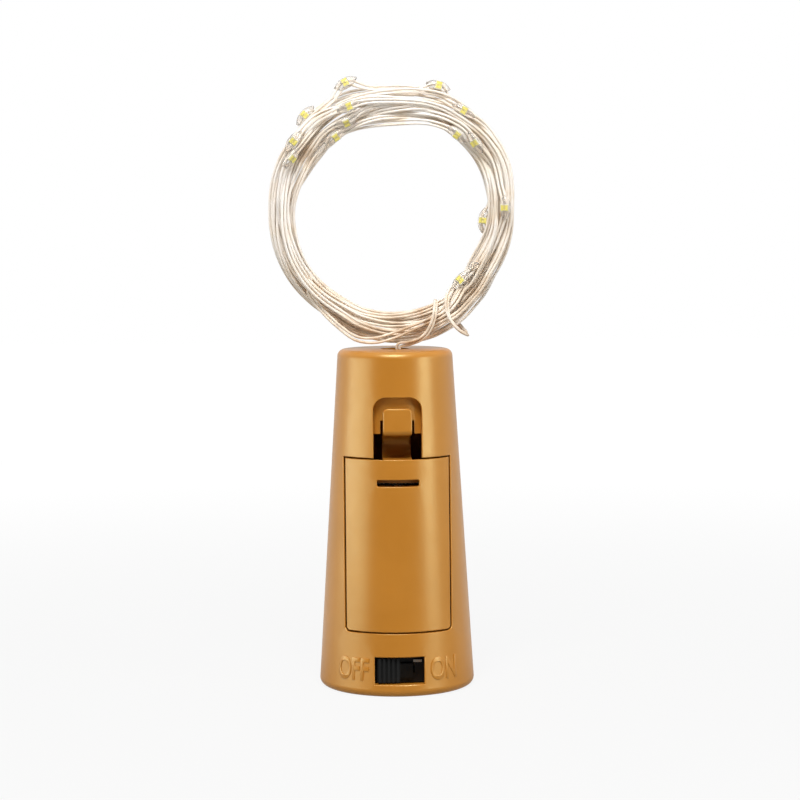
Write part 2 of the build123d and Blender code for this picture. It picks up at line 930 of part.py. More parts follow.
# Free lead from the glue plug, twice over the bundle's front, then into the ring's start
lead_end = coil_start - coil_start_way * string_diameter
with BuildPart() as wire_lead:
    tube(
        [
            Vector(0.4, -1.3, anchor_top),
            Vector(0.4, -1.3, 48.0),
            Vector(1.6, -2.0, 51.2),
            Vector(4.8, -2.0, 54.15),
            Vector(5.6, 3.95, 54.55),
            Vector(9.3, 3.95, 49.6),
            Vector(9.7, -2.15, 49.9),
            Vector(6.6, -2.15, 55.15),
            Vector(7.6, 1.5, 56.2),
            lead_end - coil_start_way * 2.2,
            lead_end,
        ],
        string_diameter,
        "wire_lead",
    )
finish_piece(wire_lead, "wire_lead")

# Lamps along the string: a clear drop against the bundle, with the chip in a pocket on its front
band_out = half_band + string_diameter / 2
band_front = half_depth + string_diameter / 2
drop_out = band_out + bead_gap
drop_places_shares = [
    ("out", 109.0, 1.0),
    ("out", 69.5, 1.0),
    ("out", 131.0, 1.0),
    ("front", 143.0, 0.55),
    ("front", 152.0, 0.45),
    ("front", 116.0, 0.45),
    ("front", 111.0, -0.45),
    ("front", 127.0, -0.85),
    ("front", 55.0, 0.7),
    ("front", 48.6, -0.3),
    ("front", 39.2, -0.2),
    ("front", 3.3, 0.15),
    ("in", -4.8, 1.0),
    ("front", -44.4, -0.85),
]


def drop_plane(side, angle, share):
    # Frame of one lamp: long axis along X, chip facing out along Z, which is the front
    radial = Vector(cos(radians(angle)), 0, sin(radians(angle)))
    tangent = Vector(-sin(radians(angle)), 0, cos(radians(angle)))
    if side == "out":
        return Plane(ring_point(angle, drop_out + bead_half_length, 0), radial, (0, -1, 0))
    if side == "in":
        return Plane(ring_point(angle, -drop_out - bead_radius, 0), tangent, (0, -1, 0))
    across = -band_front - bead_gap - bead_radius
    return Plane(ring_point(angle, share * band_out, across), tangent, (0, -1, 0))


def chip_block(low, high, mode=Mode.ADD):
    block(centred(chip_length), centred(chip_width), (low, high), mode)


drop_places = [drop_plane(*place).location for place in drop_places_shares]
with BuildPart() as drop:
    with BuildSketch() as half_drop:
        SlotOverall(2 * bead_half_length, 2 * bead_radius)
        with Locations((0, -bead_radius)):
            Rectangle(2 * bead_half_length, 2 * bead_radius, mode=Mode.SUBTRACT)
    revolve(axis=Axis.X)
    chip_block(chip_face - chip_height, bead_radius + cut_overrun, Mode.SUBTRACT)
with BuildPart() as chip:
    chip_block(chip_face - chip_height, chip_face)

# The last lamp closes the end of the string
string_end = coil_end + coil_end_way * string_diameter
end_plane = Plane(string_end, coil_end_way, (0, -1, 0))
end_middle = end_bead_length / 2
end_face = chip_face * end_bead_radius / bead_radius
end_shift = Pos(end_middle, 0, end_face - chip_face)
with BuildPart() as end_drop:
    with BuildSketch() as half_end_drop:
        with Locations((end_middle, end_bead_radius / 2)):
            Rectangle(end_bead_length, end_bead_radius)
        far_corner = half_end_drop.vertices().group_by(Axis.X)[-1].sort_by(Axis.Y)[-1]
        near_corner = half_end_drop.vertices().group_by(Axis.X)[0].sort_by(Axis.Y)[-1]
        fillet([far_corner, near_corner], radius=string_diameter)
    revolve(axis=Axis.X)
    block(
        centred(chip_length, end_middle),
        centred(chip_width),
        (end_face - chip_height, end_bead_radius + cut_overrun),
        Mode.SUBTRACT,
    )
with BuildPart() as led_beads:
    with Locations(*drop_places):
        add(drop.part)
    with Locations(end_plane.location):
        add(end_drop.part)
finish_piece(led_beads, "led_beads")
with BuildPart() as led_chips:
    with Locations(*drop_places, end_plane.location * end_shift):
        add(chip.part)
finish_piece(led_chips, "led_chips")
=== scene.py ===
import math

import bpy
import numpy as np
from mathutils import Euler, Matrix, Vector


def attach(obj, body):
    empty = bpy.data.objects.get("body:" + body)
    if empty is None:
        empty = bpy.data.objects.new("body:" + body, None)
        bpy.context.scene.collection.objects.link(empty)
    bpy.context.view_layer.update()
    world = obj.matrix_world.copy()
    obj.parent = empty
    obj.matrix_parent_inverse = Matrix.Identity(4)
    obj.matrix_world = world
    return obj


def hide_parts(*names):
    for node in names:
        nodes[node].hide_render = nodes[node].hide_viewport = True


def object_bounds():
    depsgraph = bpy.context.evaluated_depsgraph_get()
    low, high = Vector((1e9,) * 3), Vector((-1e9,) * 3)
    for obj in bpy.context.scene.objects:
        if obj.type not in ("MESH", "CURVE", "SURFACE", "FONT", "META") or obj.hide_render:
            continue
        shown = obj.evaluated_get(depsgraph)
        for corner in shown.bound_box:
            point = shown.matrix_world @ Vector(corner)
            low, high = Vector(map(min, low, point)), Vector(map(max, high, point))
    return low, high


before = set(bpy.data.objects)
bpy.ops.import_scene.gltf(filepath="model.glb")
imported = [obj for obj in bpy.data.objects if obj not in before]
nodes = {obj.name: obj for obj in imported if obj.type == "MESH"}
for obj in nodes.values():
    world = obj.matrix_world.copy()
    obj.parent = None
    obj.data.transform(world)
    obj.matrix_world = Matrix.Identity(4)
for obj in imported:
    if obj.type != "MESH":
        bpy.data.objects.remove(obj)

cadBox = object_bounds()
mm = 0.001
print("bottle light: frame loaded,", len(nodes), "nodes")


# Camera, at the height of the ring and a little to the left
camera = {
    "place": (-11.9004, -326.3357, 67.2931),
    "tilt": -4.81,
    "pan": 2.206,
    "roll": -0.384,
    "lens": 105.86,
}


def addCamera():
    data = bpy.data.cameras.new("camera")
    data.lens = camera["lens"]
    data.sensor_width = 36
    data.clip_start = 0.01
    eye = bpy.data.objects.new("camera", data)
    eye.location = Vector(camera["place"]) * mm
    aim = Euler((math.radians(90 + camera["tilt"]), 0, math.radians(-camera["pan"]))).to_matrix()
    eye.rotation_euler = (aim @ Matrix.Rotation(math.radians(camera["roll"]), 3, "Z")).to_euler()
    bpy.context.collection.objects.link(eye)
    bpy.context.scene.camera = eye


addCamera()
print("camera set")


# String of lights: one listed route through the hole and round the ring, then wound as loose turns
string = {
    "wire": 0.38,            # each of the two wires
    "pitch": 0.40,           # between the two wires
    "drape": 0.78,           # least room between two turns
    "sides": 8,              # faces round each wire
    "lead": [
        (0.4, -1.3, 46.4), (0.4, -1.4, 47.7), (1.9, -2.4, 47.8), (4.0, -2.6, 48.6),
        (5.3, -2.5, 50.8), (5.6, -2.2, 53.2), (6.0, 3.95, 53.6), (9.6, 3.95, 49.6),
        (10.3, -1.6, 48.8), (8.6, -2.5, 49.6), (7.2, -2.5, 51.6), (7.1, -2.2, 54.2), (8.1, 1.5, 55.5),
        (9.8, 2.46, 56.15), (10.98, 2.46, 58.02),
    ],
    "cuts": 3,               # rounds of corner cutting on the lead
    "centre": (-0.3, 0.9, 65.73),
    "startAngle": -32,
    "start": (13.65, 2.46),  # radius and Y where the turns begin
    "end": (13.6, -0.66),    # and where they end
    "turns": 15,
    "stations": 72,          # points in one turn
    "halfDepth": 2.0,
    "slack": 0.15,           # how far the turns may bulge past the band
    # angle from +X towards +Z, inner and outer edge of the bundle
    "band": [
        (0, 13.3, 16.9), (30, 13.4, 18.0), (60, 12.8, 18.2), (90, 11.9, 17.7), (120, 11.9, 18.2),
        (150, 12.5, 17.7), (180, 13.5, 17.0), (210, 13.5, 17.1), (240, 13.4, 17.0), (255, 13.7, 17.7),
        (270, 13.8, 18.1), (285, 13.8, 18.3), (300, 13.6, 18.0), (315, 13.2, 17.4), (330, 12.7, 16.9),
    ],
    # lamp by lamp: angle, radius, depth from the ring's middle towards the front
    "lamps": [
        (-4.8, 12.75, 0.3), (3.3, 15.7, 2.3), (39, 14.85, 2.3), (48.6, 14.6, 2.4), (55, 16.8, 2.2),
        (69.5, 19.0, 0.6), (109, 19.35, 0.4), (111.5, 15.95, 2.3), (115.5, 14.3, 2.2), (127, 13.4, 2.0),
        (131, 18.3, 0.9), (143, 16.75, 2.0), (152, 16.45, 2.0), (315.6, 13.75, 1.6),
    ],
    # where each turn lies in the tight stretch on the far side from its lamp: across, deep
    "slots": [
        (-0.85, 0.35), (0.25, 0.85), (-0.35, 0.75), (-0.75, -0.35), (0.45, 0.40),
        (0.90, 0.10), (0.80, -0.45), (0.05, 0.25), (-0.40, 0.15), (-0.55, -0.80),
        (0.35, -0.80), (0.45, -0.15), (0.00, -0.40), (-0.10, -0.90), (-0.30, -0.35),
    ],
    "parallel": (195, 285),  # stretch in which the turns lie side by side
    # the last turn comes over the front of the others: angle, radius, depth
    "over": [
        (222, 15.9, 0.8), (234, 16.5, 1.4), (245, 17.3, 2.1), (254, 18.1, 2.5),
        (262, 17.7, 2.9), (269, 16.9, 2.9), (278, 16.1, 2.9), (288, 15.6, 2.6),
    ],
    "apart": 267,            # angle at which its two wires lie widest apart
    "bump": 5.5,             # half width in degrees of the bend at a lamp
    "ear": 7.5,              # and of the peak where a lamp stands off the ring
    "hold": 5,               # and of the stretch that is held at each end
    "lampRoom": (0.39, 0.5, 7.5),   # room round the wires, more at a lamp, and over how many degrees
    "wander": 0.216,
    "waves": (0.31, 0.47, 0.83, 1.9),   # of the slow wander, in turns
    "seed": 11,
    "rounds": 260,           # in which the turns push each other apart
    "push": 0.35,
    "pull": 0.5,             # back inside the band
    "spread": (0.16, 5),     # how far the wires part at a lamp, and over how many degrees
    "loose": (0.3, 9),       # the same where the last turn comes over
    "sway": (0.05, 0.53),    # a slow change of their pitch, and its length in turns
    "twists": ((0.25, 0.37, 0), (0.2, 0.61, 1)),   # angle, length in turns, phase
}


def bandEdges(angle):
    rows = string["band"] + [(360, *string["band"][0][1:])]
    steps = 20
    even = np.linspace(0, 1, steps + 1)
    rise = np.array([0.5 - 0.5 * math.cos(math.pi * s / steps) for s in range(steps + 1)])
    at, inner, outer = [
        np.concatenate([a[k] + (b[k] - a[k]) * share for a, b in zip(rows, rows[1:])])
        for k, share in ((0, even), (1, rise), (2, rise))
    ]
    return np.interp(angle % 360, at, inner), np.interp(angle % 360, at, outer)


def lampTurns():
    return [k + (row[0] - string["startAngle"]) / 360 for k, row in enumerate(string["lamps"])]


def eased(turn, keys):
    at = np.array([k[0] for k in keys])
    values = np.array([k[1] for k in keys])
    cell = np.clip(np.searchsorted(at, turn, side="right") - 1, 0, len(at) - 2)
    share = np.clip((turn - at[cell]) / (at[cell + 1] - at[cell]), 0, 1)
    share = share * share * (3 - 2 * share)
    return values[cell] + (values[cell + 1] - values[cell]) * share[:, None]


def overTurn():                                # the last turn's track: turn, radius, depth
    last = string["turns"] - 1
    return [(last + (a - string["startAngle"]) / 360, radius, front) for a, radius, front in string["over"]]


def lieInBand(turn, middle, half):             # where the turns lie, as shares of the band across and deep
    turns, depth = string["turns"], string["halfDepth"]

    def spot(t, radius, back):
        i = min(int(round(t * string["stations"])), len(turn) - 1)
        return ((radius - middle[i]) / half[i], back / depth)

    keys = [(0.0, spot(0, string["start"][0], string["start"][1] - string["centre"][1]))]
    for k, (t, row) in enumerate(zip(lampTurns(), string["lamps"])):
        across, front = spot(t, row[1], -row[2])
        low, high = [k + (a - string["startAngle"]) / 360 for a in string["parallel"]]
        here = (t, (max(-0.95, min(0.95, across)), max(-0.85, front)))
        held = [(low, string["slots"][k]), (high, string["slots"][k])]
        keys += [here] + held if t < low else held + [here]
    over = overTurn()
    keys += [(turns - 1 + 0.3, (0.1, -0.2)), (over[0][0], (0.0, -0.5)), (over[-1][0], (-0.3, -0.9))]
    keys.append((turns, spot(turns, string["end"][0], string["end"][1] - string["centre"][1])))
    lie = eased(turn, keys)

    noise = np.random.default_rng(string["seed"])
    for wave in string["waves"]:
        for axis in (0, 1):
            phase = turn / wave + noise.random()
            lie[:, axis] += string["wander"] * np.sin(2 * math.pi * phase) * wave ** 0.5
    size = np.hypot(lie[:, 0], lie[:, 1])
    lie *= (np.minimum(size, 1.0) / np.maximum(size, 1e-6))[:, None]
    return lie


def holdTurns(turn, place):                    # firm is 1 where a lamp or an end holds the string
    firm = np.zeros(len(turn))
    room = np.full(len(turn), string["drape"] / 2)
    least, more, reach = string["lampRoom"]
    for t, row in zip(lampTurns(), string["lamps"]):
        away = (turn - t) * 360
        if row[2] < 1 and row[1] > 18:         # an ear: two straight legs
            pull = np.clip(1.1 - np.abs(away) / string["ear"], 0, 1)
        else:
            pull = np.exp(-(away / string["bump"]) ** 2 / 2)
        target = np.array([row[1], -row[2]])
        place += pull[:, None] * (target - place)
        firm = np.maximum(firm, pull)
        room = np.maximum(room, least + more * np.exp(-(away / reach) ** 4))
    over = overTurn()
    held = (turn >= over[0][0]) & (turn <= over[-1][0])
    at, radius, front = zip(*over)
    place[held, 0] = np.interp(turn, at, radius)[held]
    place[held, 1] = -np.interp(turn, at, front)[held]
    firm[held] = 1.0
    for away in (turn, string["turns"] - turn):
        firm = np.maximum(firm, np.exp(-(away * 360 / string["hold"]) ** 2 / 2))
    return place, firm, room


def settle(place, middle, half, firm, room):   # pushes turns that overlap apart, station by station
    turns, per = string["turns"], string["stations"]
    wide, deep = half + string["slack"], string["halfDepth"] + string["slack"]
    start = place.copy()
    bulge = np.maximum(np.hypot((place[:, 0] - middle) / wide, place[:, 1] / deep), 1)
    for _ in range(string["rounds"]):
        grid = place.reshape(turns, per, 2)
        apart = grid[:, None] - grid[None]
        gap = np.maximum(np.hypot(apart[..., 0], apart[..., 1]), 1e-6)
        need = room.reshape(turns, per)[:, None] + room.reshape(turns, per)[None]
        lack = np.maximum(need - gap, 0)
        lack[np.arange(turns), np.arange(turns)] = 0
        push = (apart / gap[..., None] * lack[..., None]).sum(axis=1).reshape(-1, 2) * string["push"]
        out = np.maximum(np.hypot((place[:, 0] - middle) / wide, place[:, 1] / deep) - bulge, 0)[:, None]
        push -= np.stack([place[:, 0] - middle, place[:, 1]], axis=1) * out * string["pull"]
        moved = place - start + push * (1 - firm)[:, None]
        for _ in range(2):
            smooth = moved.copy()
            smooth[1:-1] = (moved[:-2] + 2 * moved[1:-1] + moved[2:]) / 4
            moved = moved + (smooth - moved) * (1 - firm)[:, None]
        place = start + moved
    return place


def looseTurns():
    turn = np.arange(string["turns"] * string["stations"]) / string["stations"]
    angle = string["startAngle"] + 360 * turn
    inner, outer = bandEdges(angle)
    middle, half = (inner + outer) / 2, (outer - inner) / 2 - string["wire"]
    lie = lieInBand(turn, middle, half)
    place = np.stack([middle + half * lie[:, 0], string["halfDepth"] * lie[:, 1]], axis=1)
    place, firm, room = holdTurns(turn, place)
    place = settle(place, middle, half, firm, room)

    x, y, z = string["centre"]
    turning = np.radians(angle)
    points = np.stack([
        x + place[:, 0] * np.cos(turning),
        y + place[:, 1],
        z + place[:, 0] * np.sin(turning),
    ], axis=1)
    radius, depth = string["end"]
    last = math.radians(string["startAngle"])
    tip = (x + radius * math.cos(last), depth, z + radius * math.sin(last))
    return [tuple(p) for p in points] + [tip]


def cutCorners(points, rounds):                # more points for the same soft line
    for _ in range(rounds):
        cut = [points[0]]
        for a, b in zip(points, points[1:]):
            cut += [tuple(p * (1 - s) + q * s for p, q in zip(a, b)) for s in (0.25, 0.75)]
        points = cut + [points[-1]]
    return points


def readRoute():
    lead = cutCorners(string["lead"], string["cuts"])
    points = lead + looseTurns()
    curve = bpy.data.curves.new("stringRoute", "CURVE")
    curve.dimensions = "3D"
    spline = curve.splines.new("NURBS")
    spline.points.add(len(points) - 1)
    for point, place in zip(spline.points, points):
        point.co = (place[0] * mm, place[1] * mm, place[2] * mm, 1)
    spline.order_u = 3                         # set after the points, or the route is straight runs
    spline.use_endpoint_u = True
    spline.resolution_u = 2
    route = bpy.data.objects.new("stringRoute", curve)
    bpy.context.collection.objects.link(route)
    mesh = bpy.data.meshes.new_from_object(route)
    line = np.array([v.co[:] for v in mesh.vertices])
    bpy.data.objects.remove(route)
    bpy.data.curves.remove(curve)
    bpy.data.meshes.remove(mesh)
    order = np.linspace(0.5, len(points) - 1.5, len(line))
    turn = (order - len(lead)) / string["stations"]
    return line, turn


def frameAlong(line):                          # tangent, and a side that turns with the line and no more
    way = np.gradient(line, axis=0)
    way /= np.linalg.norm(way, axis=1)[:, None]
    side = np.zeros_like(line)
    start = np.array([1.0, 0.0, 0.0])
    side[0] = start - way[0] * way[0].dot(start)
    side[0] /= np.linalg.norm(side[0])
    for i in range(1, len(line)):
        side[i] = side[i - 1] - way[i] * way[i].dot(side[i - 1])
        side[i] /= np.linalg.norm(side[i])
    return way, side


def twinSides(line, turn, way, side):
    cross = np.cross(way, side)
    centre = np.array(string["centre"]) * mm
    keys = [(turn[0], (0.0,))]
    for k, t in enumerate(lampTurns()):        # flat at each lamp, and half a turn before every third
        i = int(np.argmin(np.abs(turn - t)))
        radial = line[i] - centre
        radial -= way[i] * way[i].dot(radial)
        base = math.atan2(radial.dot(cross[i]), radial.dot(side[i]))
        last = keys[-1][1][0]
        half = math.pi if k % 3 == 1 else 0.0
        angle = base + math.pi * round((last + half - base) / math.pi)
        keys.append((t, (angle,)))
    keys.append((turn[-1] + 0.01, (keys[-1][1][0] + 0.4,)))
    twist = eased(turn, keys)[:, 0]
    for swing, long, phase in string["twists"]:
        twist += swing * np.sin(2 * math.pi * turn / long + phase)
    return side * np.cos(twist)[:, None] + cross * np.sin(twist)[:, None]


def twinWire(line, turn, way, across):
    spread = np.full(len(line), string["pitch"])
    over = string["turns"] - 1 + (string["apart"] - string["startAngle"]) / 360
    parted = [(t, *string["spread"]) for t in lampTurns() + [string["turns"]]]
    for t, wide, reach in parted + [(over, *string["loose"])]:
        spread += wide * np.exp(-((turn - t) * 360 / reach) ** 2 / 2)
    sway, long = string["sway"]
    spread += sway * (1 + np.sin(2 * math.pi * turn / long))
    up = np.cross(way, across)
    sides = string["sides"]
    ring = 2 * math.pi * np.arange(sides) / sides
    verts, faces = [], []
    for sign in (-1, 1):
        base = len(verts)
        middle = line + across * (sign * spread / 2 * mm)[:, None]
        for i in range(len(line)):
            for a in ring:
                spoke = across[i] * math.cos(a) + up[i] * math.sin(a)
                verts.append(middle[i] + spoke * string["wire"] / 2 * mm)
        for i in range(len(line) - 1):
            for s in range(sides):
                a, b = base + i * sides + s, base + i * sides + (s + 1) % sides
                faces.append((a, b, b + sides, a + sides))
        last = base + (len(line) - 1) * sides
        faces.append(tuple(base + s for s in reversed(range(sides))))
        faces.append(tuple(last + s for s in range(sides)))
    mesh = bpy.data.meshes.new("twinWire")
    mesh.from_pydata([tuple(v) for v in verts], [], faces)
    mesh.polygons.foreach_set("use_smooth", [True] * len(mesh.polygons))
    mesh.update()
    piece = bpy.data.objects.new("twin_wire", mesh)
    bpy.context.collection.objects.link(piece)
    return piece


line, turn = readRoute()
way, side = frameAlong(line)
across = twinSides(line, turn, way, side)
twin = twinWire(line, turn, way, across)


# Lamps: a yellow chip across the two wires in a long clear drop of resin
lamp = {
    "long": 3.6,
    "wide": 1.55,
    "thick": 1.45,
    # past each share of the half length the drop is drawn in by this factor
    "ends": [(0.4, 0.96), (0.53, 0.94), (0.65, 0.92), (0.76, 0.9), (0.85, 0.9), (0.92, 0.9), (0.97, 0.85)],
    "chip": (0.95, 1.15, 0.5),
    "chipEdge": 0.06,
    "chipRim": 0.07,
    "chipProud": 0.4,        # from the string's middle towards the front
    "lean": 0.25,            # how far a lamp that stands off the ring faces outwards
    "endBead": (0.78, 0.78, 0.62),
    "endIn": 0.5,
}


def deselect():
    for piece in bpy.context.selected_objects:
        piece.select_set(False)


def startPiece(name):
    piece = bpy.context.object
    piece.name = name
    piece.data.name = name
    return piece


def pick(piece, test):                         # selects the faces whose middle and normal pass, in edit mode
    bpy.ops.object.mode_set(mode="OBJECT")
    mesh = piece.data
    for v in mesh.vertices:
        v.select = False
    for e in mesh.edges:
        e.select = False
    for f in mesh.polygons:
        f.select = test(f.center, f.normal)
    bpy.ops.object.mode_set(mode="EDIT")


def modelDrop():
    deselect()
    bpy.ops.mesh.primitive_uv_sphere_add(segments=20, ring_count=20, radius=0.5 * mm)
    drop = startPiece("drop")
    bpy.ops.object.mode_set(mode="EDIT")
    bpy.ops.mesh.select_all(action="SELECT")
    bpy.ops.transform.resize(value=(lamp["wide"], lamp["thick"], lamp["long"]))
    for reach, thin in lamp["ends"]:
        for end in (-1, 1):
            pick(drop, lambda c, n: c.z * end > reach * lamp["long"] / 2 * mm)
            bpy.ops.transform.resize(value=(thin, thin, 1))
    bpy.ops.object.mode_set(mode="OBJECT")
    return drop


def modelChip():
    deselect()
    length, width, height = lamp["chip"]
    bpy.ops.mesh.primitive_cube_add(size=mm)
    chip = startPiece("chip")
    bpy.ops.object.mode_set(mode="EDIT")
    bpy.ops.mesh.select_all(action="SELECT")
    bpy.ops.transform.resize(value=(width, height, length))
    bpy.ops.mesh.bevel(offset=lamp["chipEdge"] * mm, segments=2)
    pick(chip, lambda c, n: n.y < -0.99)
    bpy.ops.mesh.inset(thickness=lamp["chipRim"] * mm)
    bpy.ops.transform.translate(value=(0, 0.03 * mm, 0))   # a step down, then the phosphor stands up from it
    bpy.ops.mesh.inset(thickness=0.02 * mm)
    bpy.ops.transform.translate(value=(0, -0.08 * mm, 0))
    bpy.ops.object.mode_set(mode="OBJECT")
    for f in chip.data.polygons:
        inside = max(abs(f.center.x) / width, abs(f.center.z) / length) < 0.44 * mm
        f.material_index = 1 if f.normal.y < -0.9 and inside else 0
    return chip


def copyTo(model, name, axes, place):
    piece = model.copy()
    piece.data = model.data.copy()
    piece.name = name
    bpy.context.collection.objects.link(piece)
    piece.data.transform(Matrix.Translation(place) @ axes.to_4x4())
    return piece


def joinAs(pieces, name):
    deselect()
    for piece in pieces:
        piece.select_set(True)
    bpy.context.view_layer.objects.active = pieces[0]
    bpy.ops.object.join()
    return startPiece(name)


def placeLamps():
    drop, chip = modelDrop(), modelChip()
    drop.data.materials.append(finishes["lamp_resin"])
    chip.data.materials.append(finishes["lamp_chip"])
    chip.data.materials.append(phosphor())
    drops, chips = [], []
    centre = np.array(string["centre"]) * mm
    for k, t in enumerate(lampTurns() + [string["turns"]]):
        i = min(int(np.argmin(np.abs(turn - t))), len(line) - 1)
        end = k == len(string["lamps"])
        run, wide = Vector(way[i]), Vector(across[i])
        back = run.cross(wide).normalized()    # the chip faces the other way
        if back.y < 0:
            wide, back = -wide, -back
        if not end and string["lamps"][k][2] < 1:
            outward = Vector(line[i] - centre).normalized()
            if string["lamps"][k][1] < 14:
                outward = -outward
            facing = (Vector((0, -1, 0)) + outward * lamp["lean"]).normalized()
            back = -(facing - run * facing.dot(run)).normalized()
            wide = back.cross(run)
        axes = Matrix((wide, back, run)).transposed()
        place = Vector(line[i])
        if end:
            place = place - run * lamp["endIn"] * mm
            small = axes @ Matrix.Diagonal(lamp["endBead"])
            drops.append(copyTo(drop, "drop", small, place))
            continue
        drops.append(copyTo(drop, "drop", axes, place))
        chips.append(copyTo(chip, "chip", axes, place - back * lamp["chipProud"] * mm))
    bpy.data.objects.remove(drop)
    bpy.data.objects.remove(chip)
    resin = joinAs(drops, "lamp_drops")
    cells = joinAs(chips, "lamp_chips")
    resin.data.polygons.foreach_set("use_smooth", [True] * len(resin.data.polygons))
    deselect()
    return resin, cells


# Finishes
def linear(code):
    parts = [int(code[i:i + 2], 16) / 255 for i in (1, 3, 5)]
    return [c / 12.92 if c <= 0.04045 else ((c + 0.055) / 1.055) ** 2.4 for c in parts] + [1]


def addNode(tree, kind, sockets=None, **settings):
    node = tree.nodes.new(kind)
    for name, value in settings.items():
        setattr(node, name, value)
    for name, value in (sockets or {}).items():
        if isinstance(value, bpy.types.NodeSocket):
            tree.links.new(value, node.inputs[name])
        else:
            node.inputs[name].default_value = value
    return node


def newFinish(name, sockets):
    material = bpy.data.materials.new(name)
    material.use_nodes = True
    tree = material.node_tree
    surface = tree.nodes["Principled BSDF"]
    for socket, value in sockets.items():
        surface.inputs[socket].default_value = value
    where = addNode(tree, "ShaderNodeTexCoord").outputs["Object"]
    return material, tree, surface, where


def noise(tree, where, size, detail=2.0, rough=0.5, warp=0.0):   # size in mm of one cell
    sockets = {"Vector": where, "Scale": 1 / (size * mm)}
    sockets.update({"Detail": detail, "Roughness": rough, "Distortion": warp})
    return addNode(tree, "ShaderNodeTexNoise", sockets).outputs["Fac"]


def ramp(tree, value, stops):
    node = addNode(tree, "ShaderNodeValToRGB", {"Fac": value})
    elements = node.color_ramp.elements
    while len(elements) < len(stops):
        elements.new(0.5)
    for element, (at, colour) in zip(elements, stops):
        element.position = at
        element.color = linear(colour) if isinstance(colour, str) else [colour] * 3 + [1]
    return node.outputs["Color"]


def grain(tree, surface, height, depth, strength=1.0):
    bump = addNode(tree, "ShaderNodeBump", {"Height": height, "Distance": depth * mm, "Strength": strength})
    tree.links.new(bump.outputs["Normal"], surface.inputs["Normal"])


def corkPlastic(name, light, dark):
    # ABS coloured like cork, from a spark-eroded mould: satin with a golden sheen, a fine even grain
    sockets = {"IOR": 1.56, "Specular IOR Level": 0.95, "Specular Tint": (1.0, 0.96, 0.5, 1.0)}
    material, tree, surface, where = newFinish(name, sockets)
    flow = noise(tree, where, 9.0, 3.0, 0.55, 0.6)
    tone = ramp(tree, flow, [(0.32, dark), (0.68, light)])
    tree.links.new(tone, surface.inputs["Base Color"])
    gloss = ramp(tree, noise(tree, where, 1.4, 3.0), [(0.3, 0.33), (0.7, 0.38)])
    tree.links.new(gloss, surface.inputs["Roughness"])
    grain(tree, surface, noise(tree, where, 0.22, 2.0, 0.6), 0.012, 0.5)
    return material


def blackPlastic():
    # moulded nylon switch parts: deep black, satin
    material, tree, surface, where = newFinish("nylonBlack", {"IOR": 1.5, "Roughness": 0.5})
    tone = ramp(tree, noise(tree, where, 0.8, 2.0), [(0.3, "#070808"), (0.7, "#0d0e0d")])
    tree.links.new(tone, surface.inputs["Base Color"])
    grain(tree, surface, noise(tree, where, 0.15, 2.0), 0.01, 0.5)
    return material


def metal(name, light, dark, rough, size, depth):
    # plated or drawn metal: faint patches of the plating, fine marks of the tool
    material, tree, surface, where = newFinish(name, {"Metallic": 1.0, "Roughness": rough})
    tone = ramp(tree, noise(tree, where, size, 3.0), [(0.3, dark), (0.7, light)])
    tree.links.new(tone, surface.inputs["Base Color"])
    gloss = ramp(tree, noise(tree, where, size / 3, 3.0), [(0.3, rough * 0.8), (0.7, rough * 1.25)])
    tree.links.new(gloss, surface.inputs["Roughness"])
    grain(tree, surface, noise(tree, where, size / 6, 2.0), depth, 0.4)
    return material


# where the painted highlight on the switch frame lies: a bright bare-metal strip along the lip, in mm
glintStrip = {"middle": 2.55, "half": 0.61, "level": 4.55, "rise": 0.17}


def blackSteel():
    # switch frame: thin black lacquer on steel, with a painted highlight: a strip of bright bare metal
    # masked along the lip, placed and sized to give the glint
    material, tree, surface, where = newFinish("steelBlackLacquerGlint", {"IOR": 1.5, "Roughness": 0.5})
    # mask of the painted highlight: bright bare metal inside this strip, black lacquer elsewhere
    spot = addNode(tree, "ShaderNodeSeparateXYZ", {"Vector": where})
    across = {0: spot.outputs["X"], 1: glintStrip["middle"] * mm, 2: glintStrip["half"] * mm}
    side = addNode(tree, "ShaderNodeMath", across, operation="COMPARE")
    upward = {0: spot.outputs["Z"], 1: glintStrip["level"] * mm, 2: glintStrip["rise"] * mm}
    level = addNode(tree, "ShaderNodeMath", upward, operation="COMPARE")
    glint_mask = addNode(tree, "ShaderNodeMath", {0: side.outputs[0], 1: level.outputs[0]}, operation="MULTIPLY")
    tone = ramp(tree, glint_mask.outputs[0], [(0.4, "#0f0f10"), (0.6, "#d6d3cb")])
    tree.links.new(tone, surface.inputs["Base Color"])
    tree.links.new(glint_mask.outputs[0], surface.inputs["Metallic"])
    grain(tree, surface, noise(tree, where, 0.3, 2.0), 0.006, 0.4)
    return material


def soft(name, light, dark, rough, size):
    # extruded or cast plastic: even colour with slight mottling
    material, tree, surface, where = newFinish(name, {"IOR": 1.5, "Roughness": rough})
    tone = ramp(tree, noise(tree, where, size, 2.0), [(0.3, dark), (0.7, light)])
    tree.links.new(tone, surface.inputs["Base Color"])
    grain(tree, surface, noise(tree, where, size / 4, 2.0), 0.01, 0.4)
    return material


